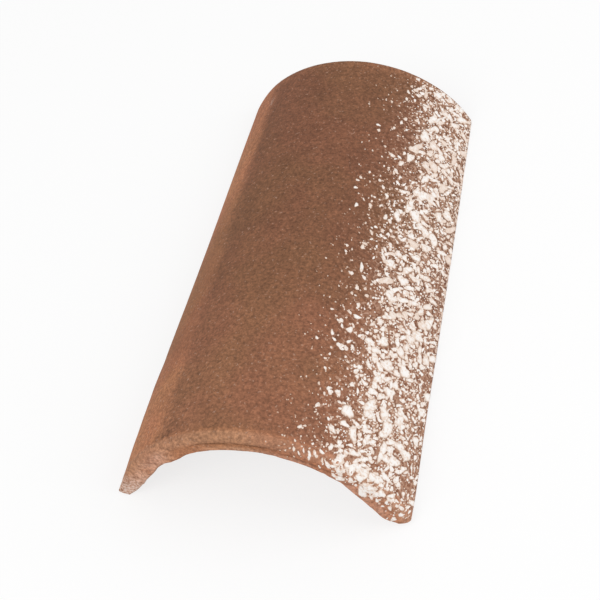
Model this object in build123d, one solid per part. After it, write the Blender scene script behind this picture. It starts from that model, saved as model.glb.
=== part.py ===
"""One barrel roof tile of fired clay: a straight half-barrel whose sides are trimmed to a taper, lying on its feet."""
import os
from math import asin, degrees

from build123d import *

# Driving dimensions, in millimetres
length = 406.0            # end to end, along the axis of the barrel
barrel_radius = 111.5     # outside of the barrel, the same from end to end
wall = 16.0               # thickness of the clay
wide_axis_drop = 24.0     # how far the axis runs under the feet at the wide end, which covers the next tile
narrow_axis_drop = 50.0   # how far the axis runs under the feet at the narrow head end, which is covered
foot_bevel_width = 8.0    # bevel on the inner edge of each foot, across the foot
foot_bevel_height = 18.0  # the same bevel, up the inside of the wall
foot_outer_ease = 2.0     # eased outer edge of each foot
nose_radius = 5.0         # rounded upper edge of the wide end
end_edge_radius = 1.5     # rounded edges of the two ends elsewhere


def barrel():
    """A length of clay pipe along Y, as it leaves the press."""
    ring = Circle(barrel_radius) - Circle(barrel_radius - wall)
    return extrude(Plane.XZ * ring, amount=length / 2, both=True)


def trim_feet(pipe):
    """Slopes the pipe down to its narrow end and keeps what is above the floor plane, which tapers its sides."""
    slope = degrees(asin((narrow_axis_drop - wide_axis_drop) / length))
    middle_drop = (wide_axis_drop + narrow_axis_drop) / 2
    lying = Pos(0, 0, -middle_drop) * Rot(-slope, 0, 0) * pipe
    return split(lying, bisect_by=Plane.XY, keep=Keep.TOP)


def feet(tile):
    """The two long flat faces that the tile lies on, left and right."""
    return tile.faces().filter_by(Plane.XY).sort_by(Axis.Z)[:2].sort_by(Axis.X)


def long_edges(foot):
    """The inner and the outer long edge of a foot."""
    return sorted(foot.edges().sort_by(Edge.length)[-2:], key=lambda edge: abs(edge.center().X))


def ease_feet(tile):
    """Bevels the inner long edge of each foot, then eases the outer one."""
    for side in range(2):
        foot = feet(tile)[side]
        inner_edge = long_edges(foot)[0]
        tile = chamfer(inner_edge, foot_bevel_width, foot_bevel_height, reference=foot)
    outer_edges = [long_edges(foot)[1] for foot in feet(tile)]
    return chamfer(outer_edges, foot_outer_ease)


def arches(tile):
    """The arched edges of the two ends, from the wide end to the narrow one."""
    return tile.edges().filter_by(GeomType.CIRCLE).sort_by(Axis.Y)


def round_ends(tile):
    """Rounds the nose, which is the upper edge of the wide end, then the other arched edges of both ends."""
    nose = arches(tile)[:2].sort_by(Axis.Z)[-1]
    tile = fillet(nose, nose_radius)
    wide_inner = arches(tile)[:2].sort_by(Axis.Z)[0]
    return fillet([wide_inner] + arches(tile)[-2:], end_edge_radius)


def centred(tile):
    """Puts the origin on the floor plane, in the middle of the tile's length and width."""
    return Pos(0, -tile.bounding_box().center().Y, 0) * tile


tile = centred(round_ends(ease_feet(trim_feet(barrel()))))
os.makedirs("parts", exist_ok=True)
export_step(tile, "parts/roof_tile.step")
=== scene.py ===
"""Dress one barrel roof tile: fired clay with a darker crown, and a lime spatter down one side."""

from math import acos, asin, cos, hypot, pi, radians, sin, sqrt

import bpy
import numpy as np
from mathutils import Matrix, Vector, noise


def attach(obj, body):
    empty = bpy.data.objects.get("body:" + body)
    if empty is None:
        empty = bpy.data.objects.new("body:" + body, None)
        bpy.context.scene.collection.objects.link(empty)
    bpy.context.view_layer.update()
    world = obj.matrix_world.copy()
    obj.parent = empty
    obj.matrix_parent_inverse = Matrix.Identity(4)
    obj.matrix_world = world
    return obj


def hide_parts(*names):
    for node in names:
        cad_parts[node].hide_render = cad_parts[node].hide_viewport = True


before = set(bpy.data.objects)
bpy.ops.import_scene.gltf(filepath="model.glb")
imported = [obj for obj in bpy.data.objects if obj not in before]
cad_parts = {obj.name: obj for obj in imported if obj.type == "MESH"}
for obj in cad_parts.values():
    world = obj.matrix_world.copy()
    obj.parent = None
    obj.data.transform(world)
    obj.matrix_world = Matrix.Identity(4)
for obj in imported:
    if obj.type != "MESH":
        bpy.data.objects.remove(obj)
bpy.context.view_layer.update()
SEED = 7
rng = np.random.default_rng(SEED)

# Driving dimensions of the tile, in metres, as the solid has them
LENGTH = 0.406
RADIUS = 0.1115
WALL = 0.016
WIDE_DROP = 0.024
NARROW_DROP = 0.050
FOOT_BEVEL_WIDTH = 0.008
FOOT_BEVEL_HEIGHT = 0.018
FOOT_EASE = 0.002
NOSE_RADIUS = 0.005
END_EDGE = 0.0015

# What follows from them
MIDDLE_DROP = (WIDE_DROP + NARROW_DROP) / 2
SLOPE = asin((NARROW_DROP - WIDE_DROP) / LENGTH)
SHIFT = (RADIUS + WIDE_DROP) * sin(SLOPE) / 2
NOSE_ARC = NOSE_RADIUS * pi / 2

# How this hand-made tile departs from the plain solid, in metres
NEAR_TIP = 0.0055         # worn corner of the right foot at the wide end, seen from the side
FAR_TIP = 0.0030          # the same at the narrow end
SHARP_NOSE = 0.0015       # the nose's radius where it runs out on the left foot
LEFT_REACH = 0.0042       # how much further the left foot reaches at the wide end
FAR_TRIM = 0.0035         # how much shorter the left foot is at the narrow end
LEG_SPREAD = 0.0014       # how much wider the right foot stands at the wide end
LEFT_BEND = 0.0014        # how far the left foot bends in towards the narrow end
LEFT_BULGE = 0.0008       # and how far out, nearer the wide end
CORNER_WEAR = 0.0042      # how far up the outer corners of the feet are worn at the wide end
LEFT_SWELL = 0.0013       # extra clay inside the left leg at the wide end
LEFT_LUMP = 0.0019        # a lump above it
LEFT_FILL = 0.0011        # clay that fills the bevel below it
RIGHT_SWELL = 0.0020      # the same three inside the right leg
RIGHT_LUMP = 0.0004
RIGHT_FILL = 0.0015
LINE_CUT = 0.0009         # depth of the ragged line across the front face
CHIP_DEPTH = 0.0005       # depth of the chips along the inner edges of the ends

# Colours, linear
CROWN_BROWN = (0.213, 0.093, 0.0495, 1)
RAW_CLAY = (0.402, 0.170, 0.085, 1)
NOSE_CLAY = (0.415, 0.200, 0.114, 1)
PINK_CLAY = (0.540, 0.300, 0.202, 1)
PALE_FLECK = (0.52, 0.32, 0.23, 1)
# The next colour is pale dust on the left foot's tip, and also a painted highlight streak near the narrow end
DUST_AND_HIGHLIGHT = (0.74, 0.60, 0.52, 1)
LIME_FILM = (0.62, 0.41, 0.30, 1)
LIME_WHITE = (0.95, 0.92, 0.89, 1)
LIME_CREAM = (0.82, 0.67, 0.57, 1)
LIME_RIM = (0.60, 0.40, 0.29, 1)
YELLOWER = (0.985, 1.025, 0.98, 1)
REDDER = (1.02, 0.98, 1.01, 1)


def smooth(first, second, value):
    """0 up to the first bound, 1 from the second on, a smooth step between; the second may be the smaller."""
    t = np.clip((np.asarray(value, float) - first) / (second - first), 0, 1)
    return t * t * (3 - 2 * t)


def bell(value, middle, width):
    """1 in the middle, and almost 0 from two widths away."""
    return np.exp(-((value - middle) / width) ** 2)


def waves(points, cell, offset):
    """Smooth noise, about -1 to 1, with lumps about one cell wide; an offset gives another noise."""
    shifted = np.asarray(points, float) / cell + offset
    return np.array([noise.noise(Vector(p)) for p in shifted])


def ripples(points, layers):
    """A sum of smooth noises, each given by its height, its cell and its offset."""
    return sum(height * waves(points, cell, offset) for height, cell, offset in layers)


# The barrel

# Each pair holds the two bounds of smooth(), as distances from the wide end unless a note says otherwise
REACH_SPAN = (0.120, 0.0)
TRIM_SPAN = (LENGTH - 0.060, LENGTH)
TRIM_SIDE = (0.70, 0.95)            # distance to the left, as a share of the radius
BEND_SPAN = (0.100, 0.250)
BULGE_START = (0.010, 0.035)
BULGE_STOP = (0.115, 0.080)
BEND_SIDE = (0.60, 0.95)            # distance to the left, as a share of the radius
SPREAD_SPAN = (0.100, 0.0)
SPREAD_SIDE = (0.065, 0.105)        # distance to the right
CORNER_SPAN = (0.030, 0.0)
CORNER_SIDE = (0.099, 0.111)        # distance to either side
CORNER_HEIGHT = (0.014, 0.0)        # over the floor
RELIEF_WAVES = ((0.00045, 0.085, 0.0), (0.00016, 0.021, 5.3), (0.00006, 0.0042, 9.1))
RELIEF_HEIGHT = (0.0, 0.010)        # over the floor, so that the feet stay flat


def barrel(angle, station, radius):
    """Points at an angle from the crown, a distance from the wide end and a radius from the barrel's axis."""
    along = station - LENGTH / 2
    rise = radius * np.cos(angle)
    x = radius * np.sin(angle)
    left = np.clip(-x / RADIUS, 0, 1)
    ends = LEFT_REACH * left ** 2 * smooth(*REACH_SPAN, station)
    ends = ends + FAR_TRIM * smooth(*TRIM_SIDE, left) * smooth(*TRIM_SPAN, station)
    bend = LEFT_BEND * smooth(*BEND_SPAN, station)
    bend = bend - LEFT_BULGE * smooth(*BULGE_STOP, station) * smooth(*BULGE_START, station)
    spread = LEG_SPREAD * smooth(*SPREAD_SIDE, x) * smooth(*SPREAD_SPAN, station)
    x = x + spread + bend * smooth(*BEND_SIDE, left)
    y = along * cos(SLOPE) + rise * sin(SLOPE) - SHIFT - ends
    z = rise * cos(SLOPE) - along * sin(SLOPE) - MIDDLE_DROP
    wear = CORNER_WEAR * smooth(*CORNER_SIDE, np.abs(x)) * smooth(*CORNER_HEIGHT, z)
    return np.stack(np.broadcast_arrays(x, y, z + wear * smooth(*CORNER_SPAN, station)), axis=-1)


def floor_height(station):
    """Height of the floor over the barrel's axis, in the plane square to the axis at a station."""
    return (MIDDLE_DROP + (station - LENGTH / 2) * sin(SLOPE)) / cos(SLOPE)


def cut_back(distance, radius):
    """How far a rounded edge of that radius is cut back at a distance from the end."""
    inset = np.clip(radius - distance, 0, radius)
    return radius - np.sqrt(radius ** 2 - inset ** 2)


def right_tip(station):
    """Radius of the right foot's worn corner at the nearer end."""
    return np.where(np.asarray(station) < LENGTH / 2, NEAR_TIP, FAR_TIP)


def relief(points):
    """How far the hand-finished clay swells or sinks at points of its plain form."""
    return ripples(points, RELIEF_WAVES) * smooth(*RELIEF_HEIGHT, np.asarray(points)[:, 2])


# The tile's mesh

ARC_STEPS = 74
EASE_STEPS = 3
FLAT_STEPS = 3
BEVEL_STEPS = 8
NOSE_STEPS = 8
MIDDLE_ROWS = 220
CAP_ROWS = 16
HALF = ARC_STEPS + EASE_STEPS + FLAT_STEPS
CHAIN = 2 * HALF + 1
NOSE_RUNOUT = (0.78, 1.0)           # share of the arc over which the nose takes the radius it has at the foot


def half_section(station, tip, foot_nose):
    """Half of the section: the outer and inner chains from the crown to the middle of the foot."""
    from_end = min(station, LENGTH - station)
    near = station < LENGTH / 2
    crown = RADIUS - cut_back(from_end, NOSE_RADIUS if near else END_EDGE)
    outer = RADIUS - cut_back(from_end, foot_nose if near else END_EDGE)
    inner = RADIUS - WALL + cut_back(from_end, END_EDGE)
    floor = floor_height(station) + cut_back(from_end, tip)
    foot_out = sqrt(outer ** 2 - floor ** 2)
    foot_in = sqrt(inner ** 2 - floor ** 2)
    flat_out = foot_out - FOOT_EASE
    flat_in = foot_in + FOOT_BEVEL_WIDTH
    middle = (flat_out + flat_in) / 2

    sweep = np.linspace(0, acos((floor + FOOT_EASE) / outer), ARC_STEPS + 1)
    skin = crown + (outer - crown) * smooth(*NOSE_RUNOUT, sweep / sweep[-1])
    outer_arc = np.stack([skin * np.sin(sweep), skin * np.cos(sweep)], axis=1)
    t = np.linspace(0, 1, EASE_STEPS + 1)[1:, None]
    corner = np.array([foot_out, floor])
    end = np.array([flat_out, floor])
    ease = (1 - t) ** 2 * outer_arc[-1] + 2 * t * (1 - t) * corner + t ** 2 * end
    across = np.linspace(flat_out, middle, FLAT_STEPS + 1)[1:]
    outer_flat = np.stack([across, np.full(FLAT_STEPS, floor)], axis=1)

    top = acos(floor / inner) - FOOT_BEVEL_HEIGHT / inner
    inner_steps = HALF - BEVEL_STEPS - FLAT_STEPS
    sweep = np.linspace(0, top, inner_steps + 1)
    inner_arc = np.stack([inner * np.sin(sweep), inner * np.cos(sweep)], axis=1)
    t = np.linspace(0, 1, BEVEL_STEPS + 1)[1:, None]
    bevel = (1 - t) * inner_arc[-1] + t * np.array([flat_in, floor])
    across = np.linspace(flat_in, middle, FLAT_STEPS + 1)[1:]
    inner_flat = np.stack([across, np.full(FLAT_STEPS, floor)], axis=1)
    return np.concatenate([outer_arc, ease, outer_flat]), np.concatenate([inner_arc, bevel, inner_flat])


def whole_section(station):
    """The outer and inner chains, each from the left foot over the crown to the right foot."""
    left = half_section(station, END_EDGE, SHARP_NOSE)
    right = half_section(station, float(right_tip(station)), NOSE_RADIUS)
    return [np.concatenate([l[:0:-1] * [-1, 1], r]) for l, r in zip(left, right)]


def stations():
    """Distances along the axis, closer together on the rounded ends."""
    turn = np.linspace(0, pi / 2, NOSE_STEPS + 1)
    wide = NOSE_RADIUS * (1 - np.cos(turn))
    narrow = LENGTH - END_EDGE * (1 - np.cos(turn[::2]))
    middle = np.linspace(NOSE_RADIUS, LENGTH - END_EDGE, MIDDLE_ROWS + 2)[1:-1]
    return np.sort(np.concatenate([wide, middle, narrow]))


# Columns of the places of points
ANGLE = 0                           # degrees from the crown, right positive
STATION = 1                         # distance from the wide end
DEPTH = 2                           # below the outer skin
HEIGHT = 3                          # over the floor


def places_at(angle, station, radius, points):
    """Places of points that lie at an angle, a station and a radius, one row each."""
    columns = np.broadcast_arrays(np.degrees(angle), station, RADIUS - radius, points[..., 2])
    return np.stack(columns, axis=-1).reshape(-1, len(columns))


def placed(section, station):
    """Points of a section in the frame, and their places."""
    angle = np.arctan2(section[:, 0], section[:, 1])
    radius = np.hypot(section[:, 0], section[:, 1])
    points = barrel(angle, station, radius)
    return points, places_at(angle, station, radius, points)


def tile_mesh():
    """Vertices, faces and places of the whole tile: rings from end to end, then a grid over each end."""
    rows = stations()
    sections = [whole_section(station) for station in rows]
    rings = [placed(np.concatenate([outer, inner[-2:0:-1]]), station)
             for (outer, inner), station in zip(sections, rows)]
    ring = len(rings[0][0])
    faces = []
    for row in range(len(rows) - 1):
        for k in range(ring):
            after = (k + 1) % ring
            faces.append((row * ring + k, row * ring + after, (row + 1) * ring + after, (row + 1) * ring + k))

    total = ring * len(rows)
    for end, first in ((0, 0), (-1, total - ring)):
        outer, inner = sections[end]
        grid = np.zeros((CAP_ROWS + 1, CHAIN), int)
        grid[0] = first + np.arange(CHAIN)
        grid[-1] = first + np.concatenate([[0], ring - np.arange(1, CHAIN - 1), [CHAIN - 1]])
        for row in range(1, CAP_ROWS):
            between = outer + (inner - outer) * row / CAP_ROWS
            rings.append(placed(between[1:-1], rows[end]))
            grid[row] = np.concatenate([[first], total + np.arange(CHAIN - 2), [first + CHAIN - 1]])
            total += CHAIN - 2
        for row in range(CAP_ROWS):
            for k in range(CHAIN - 1):
                corners = [grid[row, k], grid[row + 1, k], grid[row + 1, k + 1], grid[row, k + 1]]
                corners = list(dict.fromkeys(int(corner) for corner in corners))
                faces.append(tuple(corners if end == 0 else corners[::-1]))
    points, places = (np.concatenate(parts) for parts in zip(*rings))
    return points, faces, places


# Wear of the clay

# A zone lists spans, each a column of the places with its two bounds of smooth()
LINE_DEPTH = 0.0074                 # how far below the crown the ragged line runs on the front face
LINE_FALL = 0.0034                  # how much further down it runs on the right
LINE_FALLS = ((ANGLE, 8, 24),)
LINE_WIDTH = 0.0009
LINE_WANDER = ((0.0009, 0.014, 6.0), (0.0006, 0.004, 1.0))
LINE_REACH = ((ANGLE, -30, -18), (ANGLE, 48, 36))
LINE_WEAK = 0.70                    # its strength on the right
LINE_STRONG = ((ANGLE, 22, 8),)
LINE_GAP_WAVES = (0.008, 3.0)       # cell and offset of waves(), as in the other names of this kind
LINE_GAPS = (-0.45, 0.0)

INSIDE = ((DEPTH, 0.008, 0.014),)
FILLED = ((HEIGHT, 0.022, 0.004),)
LEFT_SWOLLEN = ((HEIGHT, 0.010, 0.034),)
LEFT_LEG = ((ANGLE, -46, -54),)
LEFT_LUMP_ANGLE = (-36, 5.0)        # its middle and width
LEFT_NEAR = ((STATION, 0.110, 0.020), (HEIGHT, 0.0, 0.004))
RIGHT_LEG = ((ANGLE, 37, 53),)
RIGHT_LUMP_ANGLE = (36, 6.0)
RIGHT_NEAR = ((STATION, 0.080, 0.010), (HEIGHT, 0.0, 0.004))
RIM_REACH = (0.0040, 0.0)           # distance from the end
RIM_DEPTH = WALL - 0.0008           # a little above the inner skin
RIM_WIDTH = (0.0015, 0.0)
CHIP_WAVES = (0.0075, 12.0)
CHIP_BOUNDS = (0.05, 0.6)


def zone(places, spans):
    """1 where every span is full, 0 where one is empty."""
    return np.prod([smooth(first, second, places[:, column]) for column, first, second in spans], axis=0)


def face_line(places, points):
    """1 along the ragged line across the front face, near the crown."""
    middle = LINE_DEPTH + LINE_FALL * zone(places, LINE_FALLS) + ripples(points, LINE_WANDER)
    reach = zone(places, LINE_REACH) * (LINE_WEAK + (1 - LINE_WEAK) * zone(places, LINE_STRONG))
    broken = smooth(*LINE_GAPS, waves(points, *LINE_GAP_WAVES))
    return bell(places[:, DEPTH], middle, LINE_WIDTH) * reach * broken * (places[:, STATION] < NOSE_RADIUS)


def worn(places, points):
    """Clay added or lost beyond the even relief: the swollen legs, and chips along the edges of the ends."""
    angle, station, depth, _ = places.T
    filled = zone(places, FILLED)
    left = (LEFT_SWELL * zone(places, LEFT_SWOLLEN) + LEFT_FILL * filled) * zone(places, LEFT_LEG)
    left = (left + LEFT_LUMP * bell(angle, *LEFT_LUMP_ANGLE)) * zone(places, LEFT_NEAR)
    right = (RIGHT_SWELL + RIGHT_FILL * filled) * zone(places, RIGHT_LEG)
    right = (right + RIGHT_LUMP * bell(angle, *RIGHT_LUMP_ANGLE)) * zone(places, RIGHT_NEAR)
    from_end = np.minimum(station, LENGTH - station)
    rim = smooth(*RIM_REACH, from_end) * smooth(*RIM_WIDTH, np.abs(depth - RIM_DEPTH))
    chips = smooth(*CHIP_BOUNDS, waves(points, *CHIP_WAVES))
    return (left + right) * zone(places, INSIDE) - CHIP_DEPTH * rim * chips


# Zones of colour on the clay

SKIN = ((DEPTH, 0.0060, 0.0005),)
COAT_EDGE = (-43.5, -33.5)          # where the brown coat ends on the left, in degrees
COAT_SWING = 4.5                    # how much further left that edge lies at the narrow end
COAT_WANDER = ((2.0, 0.030, 2.0), (1.4, 0.007, 7.0))
COAT_NOSE = (0.0052, 0.0098)        # where it ends towards the nose, as a station
COAT_NOSE_WANDER = ((0.0012, 0.012, 4.0),)
COAT_SKIN = ((DEPTH, 0.0060, 0.0035),)
NOSE = ((STATION, 0.0085, 0.0040), (DEPTH, 0.0090, 0.0030))
FRONT_FACE = ((STATION, END_EDGE, 0.0), (DEPTH, 0.0030, 0.0055))
PINK_PARTS = (                      # the left leg, a strip under the ragged line, the right leg
    (1.0, ((ANGLE, -31, -39), (DEPTH, 0.001, 0.008))),
    (0.55, ((ANGLE, -24, -12), (ANGLE, 50, 20), (DEPTH, 0.0095, 0.0130))),
    (0.75, ((ANGLE, 30, 44), (DEPTH, 0.005, 0.011))),
)
PINK_MEAN = 0.75
PINK_PATCHES = ((0.6, 0.010, 4.4),)
PINK_END = ((STATION, 0.0040, 0.0),)

MITRE = ((ANGLE, -42, -37), (ANGLE, -26, -33), (STATION, 0.004, 0.009), (STATION, 0.030, 0.012))
MITRE_WAVES = (0.0042, 2.6)
MITRE_BOUNDS = (0.0, 0.35)
SHADOW_WIDTH = 0.0026
SHADOW = ((ANGLE, -30, -16), (ANGLE, 30, 10)) + FRONT_FACE
# The bare side is darker along the middle of the tile
BARE_MIDDLE = ((STATION, 0.050, 0.110), (STATION, 0.290, 0.210))
# Painted shade: the groove of the ragged line and the front face around it are darkened in the colour; the
# corner is darkened by dirt.
LINE_SHADE = 0.85
MITRE_GRIME = 0.7
SHADOW_DARKNESS = 0.20
BARE_MIDDLE_DARKNESS = 0.38

VEIL_SHARE = 0.15                   # the thin veil of lime beside the dense part
VEIL = ((ANGLE, 10, 30),)
DENSE = ((ANGLE, 27, 39),)
DUST_EDGE = (16, 31)
DUST_WANDER = ((1.5, 0.020, 5.0),)
LIMED_FOOT = ((HEIGHT, 0.0060, 0.0030), (ANGLE, 40, 50), (STATION, 0.10, 0.16))
TIP_REACH = (0.034, 0.006)          # the pale tip of the left foot: station and height together
TIP_SIDE = ((ANGLE, 0, -40),)
HIGHLIGHT_SHARE = 0.5                  # a painted highlight: a pale streak on the left, near the narrow end, where a chipped edge catches the light
HIGHLIGHT_ANGLE = (-42, 0.9)           # its middle and width
HIGHLIGHT_STREAK = ((STATION, 0.371, 0.376), (STATION, 0.386, 0.381))
# The brown coat is lighter towards the wide end and at the narrow rim, and so is the skin just behind the
# nose
WIDE_LIGHTENING = ((STATION, 0.230, 0.030),)
NARROW_LIGHTENING = ((STATION, 0.392, 0.402),)
NARROW_LIGHTENING_SHARE = 0.75
FRONT_LIGHTENING = ((STATION, 0.045, 0.010), (STATION, 0.004, 0.009))
FRONT_LIGHTENING_SHARE = 0.35


def coat_share(places, points):
    """1 where the clay is the darker brown of the crown, 0 where it is raw: left side, nose, underneath."""
    angle, station, _, _ = places.T
    left = smooth(*COAT_EDGE, angle + ripples(points, COAT_WANDER) + COAT_SWING * station / LENGTH)
    nose = smooth(*COAT_NOSE, station + ripples(points, COAT_NOSE_WANDER))
    return left * nose * zone(places, COAT_SKIN)


def pink_share(places, points):
    """1 where the front face is pale and pinkish."""
    parts = [share * zone(places, spans) for share, spans in PINK_PARTS]
    patchy = PINK_MEAN + ripples(points, PINK_PATCHES)
    return np.clip(np.max(parts, axis=0) * patchy, 0, 1) * zone(places, PINK_END)


def grime_and_shade_share(places, points, line, bare):
    """1 where the clay is darker: painted shade in the ragged line's groove and on the face around it, dirt
    on a rubbed corner, and the middle of the bare side.
    """
    mitre = zone(places, MITRE + SKIN) * smooth(*MITRE_BOUNDS, waves(points, *MITRE_WAVES))
    shadow = bell(places[:, DEPTH], LINE_DEPTH, SHADOW_WIDTH) * zone(places, SHADOW)
    bare_middle = zone(places, BARE_MIDDLE + SKIN) * bare
    parts = [LINE_SHADE * line, MITRE_GRIME * mitre, SHADOW_DARKNESS * shadow, BARE_MIDDLE_DARKNESS * bare_middle]
    return np.max(parts, axis=0)


def clay_zones(places, points, line):
    """The zones that the clay's material reads, by name."""
    angle, station, _, height = places.T
    skin = zone(places, SKIN)
    coat = coat_share(places, points)
    # A painted highlight: a pale streak where a chipped edge on the left catches the light, added to the pale
    # tip's dust
    highlight = bell(angle, *HIGHLIGHT_ANGLE) * zone(places, HIGHLIGHT_STREAK + SKIN)
    tip = smooth(*TIP_REACH, station + height) * zone(places, TIP_SIDE)
    ends = np.maximum(zone(places, WIDE_LIGHTENING), NARROW_LIGHTENING_SHARE * zone(places, NARROW_LIGHTENING))
    front = zone(places, FRONT_LIGHTENING + SKIN)
    return {
        "coat": coat,
        "nose": zone(places, NOSE),
        "pink": pink_share(places, points),
        "grime_and_shade": grime_and_shade_share(places, points, line, 1 - coat),
        "lime_side": (VEIL_SHARE * zone(places, VEIL) + (1 - VEIL_SHARE) * zone(places, DENSE)) * skin,
        "lime_dust": smooth(*DUST_EDGE, angle + ripples(points, DUST_WANDER)) * skin,
        "limed_foot": zone(places, LIMED_FOOT + SKIN),
        "pale_tip_and_highlight": tip + HIGHLIGHT_SHARE * highlight,
        "lightening": np.maximum(ends * coat, FRONT_LIGHTENING_SHARE * front),
    }


def make_tile():
    """The tile's mesh, with its zones kept as attributes for the material."""
    points, faces, places = tile_mesh()
    mesh = bpy.data.meshes.new("roof_tile_clay")
    mesh.from_pydata(points.tolist(), [], faces)
    mesh.update()
    normals = np.zeros(len(points) * 3)
    mesh.vertex_normals.foreach_get("vector", normals)
    line = face_line(places, points)
    height = relief(points) + worn(places, points) - LINE_CUT * line
    moved = points + normals.reshape(-1, 3) * height[:, None]
    moved[:, 2] = np.maximum(moved[:, 2], 0)
    mesh.vertices.foreach_set("co", moved.ravel())
    mesh.polygons.foreach_set("use_smooth", np.ones(len(faces), bool))
    for name, values in clay_zones(places, points, line).items():
        attribute = mesh.attributes.new(name, "FLOAT", "POINT")
        attribute.data.foreach_set("value", values.astype(np.float32))
    mesh.update()
    tile = bpy.data.objects.new("roof_tile_clay", mesh)
    bpy.context.collection.objects.link(tile)
    return tile


# The lime spatter

# Travel is the way along the skin: 0 where the nose ends, above 0 on the barrel, below 0 towards the face
FACE_LIMIT = 0.0092                 # how far the lime can run down the front face, below the nose
FOOT_CLEAR = 0.0015                 # how far above the right foot it ends
TIP_CLEAR = 0.0015                  # and how much further at the wide end
TIP_CLEAR_SPAN = (0.030, 0.0)

EDGE_WANDER = ((3.0, 0.055, 1.7),)  # how the spatter's upper edge wanders along the tile, in degrees
EDGE_SHIFTS = ((3.0, 0.060, 0.020), (2.0, 0.17, 0.21), (-3.0, 0.24, 0.29))  # degrees, and spans of travel
STRAY_SHARE = 0.04                  # how thick it lies well up on the crown
STRAY_EDGE = (6, 20)
TAIL_SHARE = 0.09                   # beside the dense part
FAR_TAIL_SHARE = 0.07               # and how much thicker that is towards the narrow end
FAR_TAIL_SPAN = (0.15, 0.24)
TAIL_EDGE = (18, 31)
DENSE_SHARE = 0.94                  # in the dense part
DENSE_EDGE = (28, 42)
FAR_LOSS = 0.25                     # how much thinner all of it is towards the narrow end
FAR_LOSS_SPAN = (0.10, 0.17)
FOOT_LOSS = 0.45                    # how much thinner it is near the right foot
FAR_FOOT_LOSS = 0.15                # and more so towards the narrow end
FAR_FOOT_SPAN = (0.18, 0.28)
FOOT_LOSS_ANGLE = (52, 68)
NEAR_FOOT_LOSS = 0.28               # and near the wide end
NEAR_FOOT_SPAN = (0.09, 0.03)
NEAR_FOOT_ANGLE = (56, 66)
CLUMPS = ((0.95, 0.016, 3.3), (0.8, 0.0080, 8.8))
LEAST_CLUMP = 0.1
FACE_SPAN = (-NOSE_ARC - 0.0095, -NOSE_ARC - 0.0005)


def skin_place(travel):
    """Turn over the nose, station and radius at a travel."""
    turn = np.clip(-travel / NOSE_RADIUS, 0, pi / 2)
    down = np.clip(-travel - NOSE_ARC, 0, FACE_LIMIT)
    station = np.where(travel >= 0, NOSE_RADIUS + travel, NOSE_RADIUS * (1 - np.sin(turn)))
    station = np.minimum(station, LENGTH - END_EDGE)
    return turn, station, RADIUS - NOSE_RADIUS * (1 - np.cos(turn)) - down


def skin_limit(station, radius):
    """The angle where the lime ends, a little above the right foot."""
    from_end = np.clip(np.minimum(station, LENGTH - station), 0, None)
    clear = FOOT_CLEAR + cut_back(from_end, right_tip(station)) + TIP_CLEAR * smooth(*TIP_CLEAR_SPAN, station)
    return np.arccos(np.clip((floor_height(station) + clear) / radius, -1, 1))


def on_skin(angle, travel, height):
    """Points at a height over the outer skin, with its relief and wear."""
    turn, station, radius = skin_place(travel)
    angle = np.minimum(angle, skin_limit(station, radius))
    base = barrel(angle, station, radius)
    places = places_at(angle, station, radius, base)
    flat = base.reshape(-1, 3)
    lift = height + (relief(flat) + worn(places, flat)).reshape(height.shape)
    return barrel(angle, station - lift * np.sin(turn), radius + lift * np.cos(turn))


def spatter_density(angle, travel):
    """How thickly the lime lies."""
    degrees = np.degrees(angle)
    unrolled = np.stack([RADIUS * angle, travel, np.zeros_like(angle)], axis=1)
    edge = degrees + ripples(unrolled * [0, 1, 1], EDGE_WANDER)
    edge += sum(shift * smooth(first, second, travel) for shift, first, second in EDGE_SHIFTS)
    tail = TAIL_SHARE + FAR_TAIL_SHARE * smooth(*FAR_TAIL_SPAN, travel)
    spread = STRAY_SHARE * smooth(*STRAY_EDGE, edge) + tail * smooth(*TAIL_EDGE, edge)
    spread += DENSE_SHARE * smooth(*DENSE_EDGE, edge)
    spread *= 1 - FAR_LOSS * smooth(*FAR_LOSS_SPAN, travel)
    foot_loss = FOOT_LOSS + FAR_FOOT_LOSS * smooth(*FAR_FOOT_SPAN, travel)
    thinner = 1 - foot_loss * smooth(*FOOT_LOSS_ANGLE, degrees)
    thinner -= NEAR_FOOT_LOSS * smooth(*NEAR_FOOT_ANGLE, degrees) * smooth(*NEAR_FOOT_SPAN, travel)
    clumps = 1 + ripples(unrolled, CLUMPS)
    return spread * thinner * smooth(*FACE_SPAN, travel) * np.clip(clumps, LEAST_CLUMP, None)


# The lime was flicked on from the front, over the right side
SPRAY_AZIMUTH = radians(20)
SPRAY_ELEVATION = radians(50)
SPRAY_LEVEL = np.array([sin(SPRAY_AZIMUTH), -cos(SPRAY_AZIMUTH), 0])
SPRAY = cos(SPRAY_ELEVATION) * SPRAY_LEVEL + np.array([0, 0, sin(SPRAY_ELEVATION)])
LEAST_FACING = 0.66                 # skin that faces the spray less than this stretches a flake no further
CLEARANCE = 0.63                    # least distance between flakes, in their mean size


def across_spray(toward):
    """The level and the rising direction square to a spray."""
    level = np.cross([0, 0, 1], toward)
    level /= np.linalg.norm(level, axis=-1, keepdims=True)
    return level, np.cross(toward, level)


def spray_stretch(angle, travel):
    """How a flake that came in flat across the spray stretches on the skin: one matrix for each place."""
    turn = np.clip(-travel / NOSE_RADIUS, 0, pi / 2)[:, None]
    radial = np.stack([np.sin(angle), np.cos(angle) * sin(SLOPE), np.cos(angle) * cos(SLOPE)], axis=1)
    around = np.stack([np.cos(angle), -np.sin(angle) * sin(SLOPE), -np.sin(angle) * cos(SLOPE)], axis=1)
    axis = np.array([0, cos(SLOPE), -sin(SLOPE)])
    onward = np.cos(turn) * axis + np.sin(turn) * radial
    normal = np.cos(turn) * radial - np.sin(turn) * axis
    toward = SPRAY + normal * np.clip(LEAST_FACING - normal @ SPRAY, 0, None)[:, None]
    toward /= np.linalg.norm(toward, axis=1)[:, None]
    dots = [[(side * way).sum(axis=1) for way in (around, onward)] for side in across_spray(toward)]
    return np.linalg.inv(np.moveaxis(np.array(dots), 2, 0))


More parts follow.
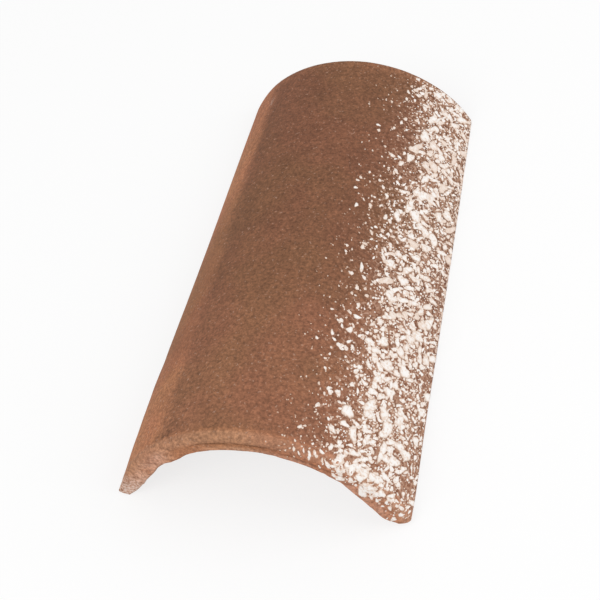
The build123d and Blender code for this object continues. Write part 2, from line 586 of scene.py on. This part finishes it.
def spaced(angle, travel, size):
    """Which flakes stay when each keeps clear of the ones before it, seen along the spray."""
    spots = on_skin(angle, travel, np.zeros_like(angle)) @ np.stack(across_spray(SPRAY), axis=1)
    cell = size.max()
    grid = {}
    kept = []
    for k, ((x, y), across) in enumerate(zip(spots.tolist(), size.tolist())):
        column, row = int(x // cell), int(y // cell)
        cells = [(column + i, row + j) for i in (-1, 0, 1) for j in (-1, 0, 1)]
        near = [flake for spot in cells for flake in grid.get(spot, ())]
        if all(hypot(x - u, y - v) > CLEARANCE * (across + other) / 2 for u, v, other in near):
            grid.setdefault((column, row), []).append((x, y, across))
            kept.append(k)
    return np.array(kept)


# One flake: a rim pressed into the skin, a shoulder, a top and a bed, which is the middle of its underside
FLAKE_LOBES = ((2, 0.16), (3, 0.15))  # how many lobes, and how deep
FLAKE_REACH = 1.02
FLAKE_RAGGED = 0.14
RIM_JITTER = 0.3                    # most that a rim point is moved around the flake, in radians
RIM_KEEP = 0.9                      # and in half spacings, so that the rim points keep their order
RIM_LEVEL = -0.00008
SHOULDER_REACH = 0.70
SHOULDER_LEVEL = 0.9                # as a share of the flake's height, and so is the top's
SHOULDER_ROUGH = (0.8, 1.2)
TOP_LEVEL = 1.1
BED_LEVEL = -0.0002
SHOULDER_THIN = 0.15                # lime is thin at the rim and the bed (1), thick at the top (0)
CREAM_THIN = 0.6                    # how much thinner the creamiest flake is
LARGE_CREAM = 0.10                  # how creamy a large flake can be; a small one can be 1
FAR_CREAM = 0.35                    # and how much creamier towards the narrow end
FAR_CREAM_SPAN = (0.06, 0.20)
CREAM_SIZE = (0.0045, 0.0010)
FAINT = 0.40                        # how much thinner the smallest specks are, well up on the crown
FAINT_ANGLE = (32, 20)
FAINT_SIZE = (0.0024, 0.0013)


def flake_faces(count, rim_points):
    """Faces of flakes whose vertices are the rim, the shoulder, the top and the bed."""
    top = 2 * rim_points
    pattern = []
    for k in range(rim_points):
        after = (k + 1) % rim_points
        pattern.append((k, after, rim_points + after, rim_points + k))
        pattern.append((rim_points + k, rim_points + after, top))
        pattern.append((after, k, top + 1))
    return [tuple(flake * (top + 2) + k for k in face) for flake in range(count) for face in pattern]


def flakes(angle, travel, size, aspect, turn, height, rim_points):
    """Thin domed flakes that follow the skin: vertices, faces and how thin the lime is at each vertex."""
    count = len(angle)
    jitter = min(RIM_JITTER, RIM_KEEP * pi / rim_points)
    around = np.linspace(0, 2 * pi, rim_points, endpoint=False)
    around = around + rng.uniform(-jitter, jitter, (count, rim_points))
    lobes = 0
    for number, depth in FLAKE_LOBES:
        lobes = lobes + depth * np.cos(number * around + rng.uniform(0, 2 * pi, (count, 1)))
    reach = FLAKE_REACH + lobes + rng.uniform(-FLAKE_RAGGED, FLAKE_RAGGED, (count, rim_points))
    u = 0.5 * size[:, None] * reach * np.cos(around) * np.sqrt(aspect)[:, None]
    v = 0.5 * size[:, None] * reach * np.sin(around) / np.sqrt(aspect)[:, None]
    turned_u = u * np.cos(turn)[:, None] - v * np.sin(turn)[:, None]
    turned_v = u * np.sin(turn)[:, None] + v * np.cos(turn)[:, None]
    (a, b), (c, d) = np.moveaxis(spray_stretch(angle, travel), 0, 2)
    across = a[:, None] * turned_u + b[:, None] * turned_v
    along = c[:, None] * turned_u + d[:, None] * turned_v

    zero = np.zeros((count, 1))
    peak = height[:, None]
    shoulder = peak * SHOULDER_LEVEL * rng.uniform(*SHOULDER_ROUGH, (count, rim_points))
    heights = [np.full((count, rim_points), RIM_LEVEL), shoulder, TOP_LEVEL * peak, zero + BED_LEVEL]
    offsets_u = np.concatenate([across, SHOULDER_REACH * across, zero, zero], axis=1)
    offsets_v = np.concatenate([along, SHOULDER_REACH * along, zero, zero], axis=1)
    spots = angle[:, None] + offsets_u / RADIUS, travel[:, None] + offsets_v
    points = on_skin(*spots, np.concatenate(heights, axis=1))

    edge = np.concatenate([np.ones(rim_points), np.full(rim_points, SHOULDER_THIN), [0.0], [1.0]])
    large = LARGE_CREAM + FAR_CREAM * smooth(*FAR_CREAM_SPAN, travel)
    most = large + (1 - large) * smooth(*CREAM_SIZE, size)
    cream = rng.uniform(0, 1, (count, 1)) ** 2 * most[:, None]
    faint = FAINT * smooth(*FAINT_ANGLE, np.degrees(angle)) * smooth(*FAINT_SIZE, size)
    thin = np.clip(edge[None, :] + CREAM_THIN * cream + faint[:, None], 0, 1)
    return points.reshape(-1, 3), flake_faces(count, rim_points), thin.ravel()


# How flakes are thrown
TRIES = 16                          # tries for each flake
LAST_ANGLE = 78                     # just beyond the right foot at the wide end
FACE_REACH = 0.0070                 # how far down the front face a flake's middle can land
SMALL_BIAS = 1.5                    # above 1, smaller sizes are more frequent
FOOT_ROOM = 0.35                    # least distance to the right foot, as a share of the flake's size
FULL_CHANCE = 2.2                   # a try lands for certain where the density, to its power, is this
ASPECT_SPREAD = 0.6                 # how long flakes can be, and how much longer large ones can
ASPECT_SIZE = (0.0015, 0.0040)
SLANT = (-0.85, 0.55)               # mean and spread of a flake's turn across the spray, in radians
LEAST_HEIGHT = 0.00010
HEIGHT_SHARE = 0.035                # a flake's height for its size
HEIGHT_SPREAD = (0.6, 1.2)

# Size classes of flakes: how many are thrown, smallest and largest size, lowest angle, power, rim points
SIZE_CLASSES = (
    (190, 0.0055, 0.0105, 33, 1.4, 20),
    (900, 0.0032, 0.0057, 24, 1.0, 14),
    (2600, 0.0016, 0.0032, 14, 0.95, 10),
    (3800, 0.0010, 0.0018, 3, 0.65, 7),
)
LARGE_CLASSES = 2                   # how many of them are flakes; the others are specks
NOSE_FLAKES = 8
STRAYS = 22
DRIPS = 11


def thrown(count, smallest, largest, lowest_angle, power):
    """Angle, travel and size of flakes of one size class, drawn by a power of the spatter's density."""
    tries = count * TRIES
    angle = rng.uniform(radians(lowest_angle), radians(LAST_ANGLE), tries)
    travel = rng.uniform(-NOSE_ARC - FACE_REACH, LENGTH - NOSE_RADIUS - END_EDGE, tries)
    chance = spatter_density(angle, travel) ** power
    size = smallest * (largest / smallest) ** (rng.uniform(0, 1, tries) ** SMALL_BIAS)
    room = skin_limit(*skin_place(travel)[1:]) - angle > FOOT_ROOM * size / RADIUS
    keep = np.flatnonzero(room & (rng.uniform(0, FULL_CHANCE, tries) < chance))[:count]
    return np.stack([angle[keep], travel[keep], size[keep]])


def spatter_layer(angle, travel, size, rim_points):
    """Flakes of one size class where they landed."""
    count = len(size)
    longest = ASPECT_SPREAD + ASPECT_SPREAD * smooth(*ASPECT_SIZE, size)
    aspect = 1 + rng.uniform(0.0, longest, count)
    turn = rng.normal(*SLANT, count)
    height = LEAST_HEIGHT + HEIGHT_SHARE * size * rng.uniform(*HEIGHT_SPREAD, count)
    return flakes(angle, travel, size, aspect, turn, height, rim_points)


def nose_flakes(count):
    """Larger flakes that lie over the nose."""
    angle = np.radians(rng.uniform(35, 55, count))
    travel = rng.uniform(-0.0105, 0.0030, count)
    size = rng.uniform(0.0045, 0.0085, count)
    return spatter_layer(angle, travel, size, rim_points=20)


def strays(count):
    """Single flakes that landed well up on the crown."""
    angle = np.radians(rng.uniform(15, 29, count))
    travel = rng.uniform(0.010, 0.385, count)
    size = rng.uniform(0.0024, 0.0044, count)
    return spatter_layer(angle, travel, size, rim_points=14)


def drips(count):
    """Runs of lime down over the nose, side by side."""
    angle = np.radians(np.linspace(18, 39, count) + rng.uniform(-1.1, 1.1, count))
    travel = -rng.uniform(0.0020, 0.0080, count)
    size = rng.uniform(0.0022, 0.0046, count)
    aspect = rng.uniform(1.8, 3.6, count)
    turn = rng.normal(1.66, 0.12, count)
    height = np.full(count, 0.0003)
    return flakes(angle, travel, size, aspect, turn, height, rim_points=12)


def joined(name, layers):
    """Layers of flakes as one object."""
    points = []
    faces = []
    thin = []
    start = 0
    for layer_points, layer_faces, layer_thin in layers:
        points.append(layer_points)
        faces.extend(tuple(start + k for k in face) for face in layer_faces)
        thin.append(layer_thin)
        start += len(layer_points)
    mesh = bpy.data.meshes.new(name)
    mesh.from_pydata(np.concatenate(points).tolist(), [], faces)
    mesh.polygons.foreach_set("use_smooth", np.ones(len(faces), bool))
    attribute = mesh.attributes.new("thin", "FLOAT", "POINT")
    attribute.data.foreach_set("value", np.concatenate(thin).astype(np.float32))
    mesh.update()
    piece = bpy.data.objects.new(name, mesh)
    bpy.context.collection.objects.link(piece)
    return piece


def make_spatter():
    """The lime in two joined meshes, the larger flakes and the specks."""
    classes = [thrown(*size_class[:-1]) for size_class in SIZE_CLASSES]
    kind = np.repeat(np.arange(len(classes)), [flakes_of.shape[1] for flakes_of in classes])
    every = np.concatenate(classes, axis=1)
    kept = spaced(*every)
    layers = []
    for k, size_class in enumerate(SIZE_CLASSES):
        angle, travel, size = every[:, kept[kind[kept] == k]]
        layers.append(spatter_layer(angle, travel, size, size_class[-1]))
    single = [nose_flakes(NOSE_FLAKES), strays(STRAYS), drips(DRIPS)]
    large = joined("lime_flakes", layers[:LARGE_CLASSES] + single)
    return large, joined("lime_specks", layers[LARGE_CLASSES:])


# Materials

DULL_SPECULAR = 0.25

# Sockets of a mix node that mixes colours
MIX_SHARE = 0
MIX_FIRST = 6
MIX_SECOND = 7
MIX_RESULT = 2


class Shader:
    """A node material, built a node at a time."""

    def __init__(self, name):
        self.material = bpy.data.materials.new(name)
        self.material.use_nodes = True
        self.tree = self.material.node_tree
        self.surface = self.tree.nodes["Principled BSDF"]

    def add(self, kind, inputs=None, **settings):
        """A new node with its settings and inputs; an input that is a socket is linked."""
        made = self.tree.nodes.new(kind)
        for name, value in settings.items():
            setattr(made, name, value)
        for name, value in (inputs or {}).items():
            self.put(made, name, value)
        return made

    def put(self, target, name, value):
        """Set or link one input."""
        if isinstance(value, bpy.types.NodeSocket):
            self.tree.links.new(value, target.inputs[name])
        else:
            target.inputs[name].default_value = value

    def attribute(self, name):
        """A zone of the mesh."""
        return self.add("ShaderNodeAttribute", attribute_name=name).outputs["Fac"]

    def noise(self, place, scale, detail=2.0, roughness=0.5):
        """Noise of a scale, in lumps for each metre."""
        made = self.add("ShaderNodeTexNoise", {"Vector": place, "Scale": scale, "Detail": detail})
        made.inputs["Roughness"].default_value = roughness
        return made.outputs["Fac"]

    def remap(self, value, low, high, to_low=0.0, to_high=1.0):
        """A smooth step of a value from one range to another."""
        made = self.add("ShaderNodeMapRange", {"Value": value, "From Min": low, "From Max": high})
        made.inputs["To Min"].default_value = to_low
        made.inputs["To Max"].default_value = to_high
        made.interpolation_type = "SMOOTHSTEP"
        return made.outputs["Result"]

    def math(self, operation, *values):
        """One sum or product of values."""
        made = self.add("ShaderNodeMath", dict(enumerate(values)), operation=operation)
        return made.outputs[0]

    def mix(self, share, first, second, blend="MIX"):
        """The first colour with a share of the second."""
        made = self.add("ShaderNodeMix", data_type="RGBA", blend_type=blend)
        self.put(made, MIX_SHARE, share)
        self.put(made, MIX_FIRST, first)
        self.put(made, MIX_SECOND, second)
        return made.outputs[MIX_RESULT]

    def dull_surface(self, colour, roughness, height, strength, distance):
        """The dull surface of clay or lime: its colour, its roughness and a fine bump."""
        self.put(self.surface, "Base Color", colour)
        self.put(self.surface, "Roughness", roughness)
        self.put(self.surface, "Specular IOR Level", DULL_SPECULAR)
        bump = self.add("ShaderNodeBump", {"Height": height, "Strength": strength, "Distance": distance})
        self.put(self.surface, "Normal", bump.outputs["Normal"])
        return self.material


STREAK_STRETCH = (1, 0.14, 1)       # streaks run along the tile
STREAK_DEPTH = 0.03
SAND_DEPTH = 0.20
GRAIN_DEPTH = 0.36
LIGHTENING_GAIN = 0.30
GRIME_AND_SHADE_GAIN = -0.62
FLECK_LIFT = 0.10                   # how many more flecks there are where lime dust lies
FLECK_SHARE = 0.50
DUSTY_FLECK_SHARE = 0.25            # and how much stronger they are there
DUST_AND_HIGHLIGHT_SHARE = 0.9
FILM_SHARE = 0.40
FOOT_SHARE = 0.9


def clay_material():
    """Fired clay: brown on the crown, raw elsewhere, with sand, grime, painted shade, a painted highlight and
    traces of lime.
    """
    shader = Shader("fired_clay")
    place = shader.add("ShaderNodeTexCoord").outputs["Object"]
    stretch = {0: place, 1: STREAK_STRETCH}
    stretched = shader.add("ShaderNodeVectorMath", stretch, operation="MULTIPLY").outputs[0]
    grain = shader.noise(place, 520, 4.0, 0.70)
    sand = shader.noise(place, 300, 2.0, 0.6)
    fleck = shader.noise(place, 430, 1.0)
    mottle = shader.noise(place, 42, 3.0, 0.55)
    hue = shader.noise(place, 14, 2.0)
    streaks = shader.noise(stretched, 110, 2.0)

    tone = shader.mix(shader.attribute("nose"), RAW_CLAY, NOSE_CLAY)
    tone = shader.mix(shader.attribute("coat"), tone, CROWN_BROWN)
    pink = shader.math("MULTIPLY", shader.attribute("pink"), shader.remap(sand, 0.30, 0.55, 0.35, 1.0))
    tone = shader.mix(pink, tone, PINK_CLAY)
    tone = shader.mix(1.0, tone, shader.mix(shader.remap(hue, 0.35, 0.65), YELLOWER, REDDER), "MULTIPLY")

    shade = shader.remap(mottle, 0.3, 0.7, 0.93, 1.07)
    for value, depth in ((streaks, STREAK_DEPTH), (sand, SAND_DEPTH), (grain, GRAIN_DEPTH)):
        shade = shader.math("MULTIPLY", shade, shader.remap(value, 0.25, 0.75, 1 - depth, 1 + depth))
    # Painted shade in and around the ragged line's groove, with dirt on a corner and a darker middle on the
    # bare side.
    grime_and_shade = shader.math("MULTIPLY", shader.attribute("grime_and_shade"), shader.remap(sand, 0.32, 0.62, 0.55, 1.35))
    for zone_share, gain in ((shader.attribute("lightening"), LIGHTENING_GAIN), (grime_and_shade, GRIME_AND_SHADE_GAIN)):
        shade = shader.math("MULTIPLY", shade, shader.math("MULTIPLY_ADD", zone_share, gain, 1.0))
    lit = shader.add("ShaderNodeVectorMath", {0: tone, "Scale": shade}, operation="SCALE").outputs[0]

    lime_dust = shader.attribute("lime_dust")
    pale = shader.remap(shader.math("MULTIPLY_ADD", lime_dust, FLECK_LIFT, fleck), 0.66, 0.74)
    pale_share = shader.math("MULTIPLY_ADD", lime_dust, DUSTY_FLECK_SHARE, FLECK_SHARE)
    lit = shader.mix(shader.math("MULTIPLY", pale, pale_share), lit, PALE_FLECK)
    # Dust on the left foot's tip with a painted highlight streak, then two traces of lime
    traces = (
        ("pale_tip_and_highlight", shader.remap(grain, 0.38, 0.62), DUST_AND_HIGHLIGHT_SHARE, DUST_AND_HIGHLIGHT),
        ("lime_side", shader.remap(sand, 0.40, 0.62), FILM_SHARE, LIME_FILM),
        ("limed_foot", shader.remap(sand, 0.47, 0.57), FOOT_SHARE, LIME_CREAM),
    )
    for zone_name, patches, share, colour in traces:
        cover = shader.math("MULTIPLY", shader.attribute(zone_name), patches)
        lit = shader.mix(shader.math("MULTIPLY", cover, share), lit, colour)
    return shader.dull_surface(lit, shader.remap(grain, 0.2, 0.8, 0.80, 0.97), grain, 0.6, 0.0005)


def lime_material():
    """Dried lime: white where it is thick, cream where it is thin, and brownish at its rims."""
    shader = Shader("lime")
    place = shader.add("ShaderNodeTexCoord").outputs["Object"]
    crust = shader.noise(place, 620, 3.0, 0.6)
    patchy = shader.remap(shader.noise(place, 400, 2.0), 0.48, 0.66, 0.0, 0.30)
    thin = shader.math("ADD", shader.attribute("thin"), patchy)
    colour = shader.mix(shader.remap(thin, 0.0, 0.45), LIME_WHITE, LIME_CREAM)
    colour = shader.mix(shader.remap(thin, 0.45, 1.1), colour, LIME_RIM)
    return shader.dull_surface(colour, shader.remap(crust, 0.2, 0.8, 0.75, 0.95), crust, 0.35, 0.0003)


# The studio

FLOOR_SIZE = 60.0
FLOOR_WHITE = (0.95, 0.95, 0.95, 1)
FLOOR_SHADOW_SHARE = 0.22           # share of the floor's own shading in what the camera sees
SHADOW_REACH = (0.45, 1.6)          # how far from the tile that share starts to fade and where it ends
PLAIN_WHITE = (1, 1, 1, 1)
SKY_STRENGTH = 0.62
LAMP_AIM = Vector((0, 0, 0.05))
LAMPS = (                           # name, place, size and power
    ("key", (-0.9, -1.3, 1.6), 1.2, 14),
    ("fill", (1.5, 0.2, 1.2), 1.4, 13),
)


def camera_sees(tree):
    """1 for rays from the camera and for those that gloss or glass sends on."""
    path = tree.nodes.new("ShaderNodeLightPath")
    total = path.outputs["Is Camera Ray"]
    for name in ("Is Glossy Ray", "Is Transmission Ray"):
        either = tree.nodes.new("ShaderNodeMath")
        either.operation = "MAXIMUM"
        tree.links.new(total, either.inputs[0])
        tree.links.new(path.outputs[name], either.inputs[1])
        total = either.outputs[0]
    return total


def make_floor():
    """A pale floor that shows the camera plain white, with a share of the tile's shadow."""
    half = FLOOR_SIZE / 2
    mesh = bpy.data.meshes.new("floor")
    corners = [(-half, -half, 0), (half, -half, 0), (half, half, 0), (-half, half, 0)]
    mesh.from_pydata(corners, [], [(0, 1, 2, 3)])
    floor = bpy.data.objects.new("floor", mesh)
    bpy.context.collection.objects.link(floor)
    shader = Shader("floor")
    shader.put(shader.surface, "Base Color", FLOOR_WHITE)
    shader.put(shader.surface, "Roughness", 1.0)
    shader.put(shader.surface, "Specular IOR Level", 0.0)
    white = shader.add("ShaderNodeEmission", {"Color": PLAIN_WHITE, "Strength": 1.0})
    place = shader.add("ShaderNodeTexCoord").outputs["Object"]
    distance = shader.add("ShaderNodeVectorMath", {0: place}, operation="LENGTH").outputs["Value"]
    plain = shader.remap(distance, *SHADOW_REACH, 1 - FLOOR_SHADOW_SHARE, 1.0)
    share = shader.math("MULTIPLY", camera_sees(shader.tree), plain)
    blend = shader.add("ShaderNodeMixShader", {0: share, 1: shader.surface.outputs[0], 2: white.outputs[0]})
    shader.tree.links.new(blend.outputs[0], shader.tree.nodes["Material Output"].inputs["Surface"])
    mesh.materials.append(shader.material)


def make_sky():
    """An even sky, plain white to the camera."""
    world = bpy.data.worlds.new("studio")
    bpy.context.scene.world = world
    world.use_nodes = True
    tree = world.node_tree
    strength = tree.nodes.new("ShaderNodeMapRange")
    strength.inputs["To Min"].default_value = SKY_STRENGTH
    strength.inputs["To Max"].default_value = 1.0
    tree.links.new(camera_sees(tree), strength.inputs["Value"])
    background = tree.nodes["Background"]
    background.inputs["Color"].default_value = PLAIN_WHITE
    tree.links.new(strength.outputs["Result"], background.inputs["Strength"])


def make_lamp(name, place, size, power):
    """A soft square lamp aimed at the tile."""
    lamp = bpy.data.lights.new(name, "AREA")
    lamp.size = size
    lamp.energy = power
    holder = bpy.data.objects.new(name, lamp)
    holder.location = place
    holder.rotation_euler = (LAMP_AIM - Vector(place)).to_track_quat("-Z", "Y").to_euler()
    bpy.context.collection.objects.link(holder)


# The camera, as it stood to the tile
CAMERA_AZIMUTH = radians(21.2)
CAMERA_ELEVATION = radians(51.5)
CAMERA_ROLL = radians(-11.48)
CAMERA_DISTANCE = 1.0716
CAMERA_AIM = Vector((-0.0135, -0.0108, -0.0041))
CAMERA_LENS = 78.58
CAMERA_SENSOR = 36


def make_camera():
    """A camera turned round the tile, raised, and rolled about its view."""
    az, el = CAMERA_AZIMUTH, CAMERA_ELEVATION
    level = Vector((cos(az), sin(az), 0))
    up = Vector((-sin(az) * sin(el), cos(az) * sin(el), cos(el)))
    back = Vector((sin(az) * cos(el), -cos(az) * cos(el), sin(el)))
    right = cos(CAMERA_ROLL) * level + sin(CAMERA_ROLL) * up
    top = -sin(CAMERA_ROLL) * level + cos(CAMERA_ROLL) * up
    data = bpy.data.cameras.new("camera")
    data.lens = CAMERA_LENS
    data.sensor_width = CAMERA_SENSOR
    data.sensor_fit = "HORIZONTAL"
    camera = bpy.data.objects.new("camera", data)
    turn = Matrix((right, top, back)).transposed().to_4x4()
    camera.matrix_world = Matrix.Translation(CAMERA_AIM + CAMERA_DISTANCE * back) @ turn
    bpy.context.collection.objects.link(camera)
    bpy.context.scene.camera = camera


tile = make_tile()
tile.data.materials.append(clay_material())
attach(tile, "root")
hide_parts("roof_tile")

lime = lime_material()
for piece in make_spatter():
    piece.data.materials.append(lime)
    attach(piece, "root")

make_floor()
make_sky()
for lamp in LAMPS:
    make_lamp(*lamp)
make_camera()
bpy.context.scene.view_settings.view_transform = "Standard"
